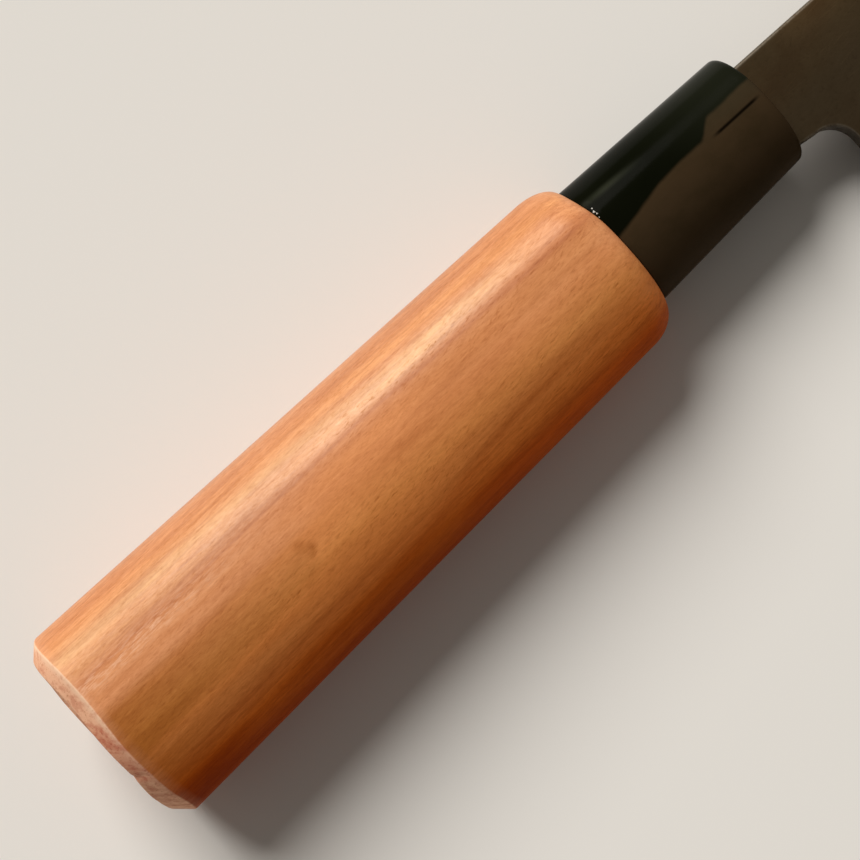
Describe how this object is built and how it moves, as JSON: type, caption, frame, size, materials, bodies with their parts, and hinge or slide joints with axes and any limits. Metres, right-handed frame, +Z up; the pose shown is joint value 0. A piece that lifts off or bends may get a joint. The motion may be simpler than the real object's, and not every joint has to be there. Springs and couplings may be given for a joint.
{
  "type": "sabaki knife",
  "caption": "Right-handed boning knife with a dark forged triangular blade, a black collar and a tapered chestnut-section wooden grip.",
  "frame": {"origin": "on the ground under the centre of the knife's box, with the knife lying at rest on its left side", "axes": "+X along the handle axis's trace on the ground, from the butt towards the tip; +Y across the blade, towards the spine; +Z up, out of the right face"},
  "size_m": [0.2718, 0.0462, 0.0253],
  "materials": {
    "forged_steel": "dark forge scale, semi-gloss, with a bare ground edge",
    "grip_wood": "sanded and lightly oiled",
    "collar_plastic": "moulded, glossy black",
    "bedding_resin": "set adhesive"
  },
  "bodies": {
    "root": {"blade": "forged_steel", "grip": "grip_wood", "collar": "collar_plastic", "tang_bedding": "bedding_resin"}
  },
  "joints": []
}
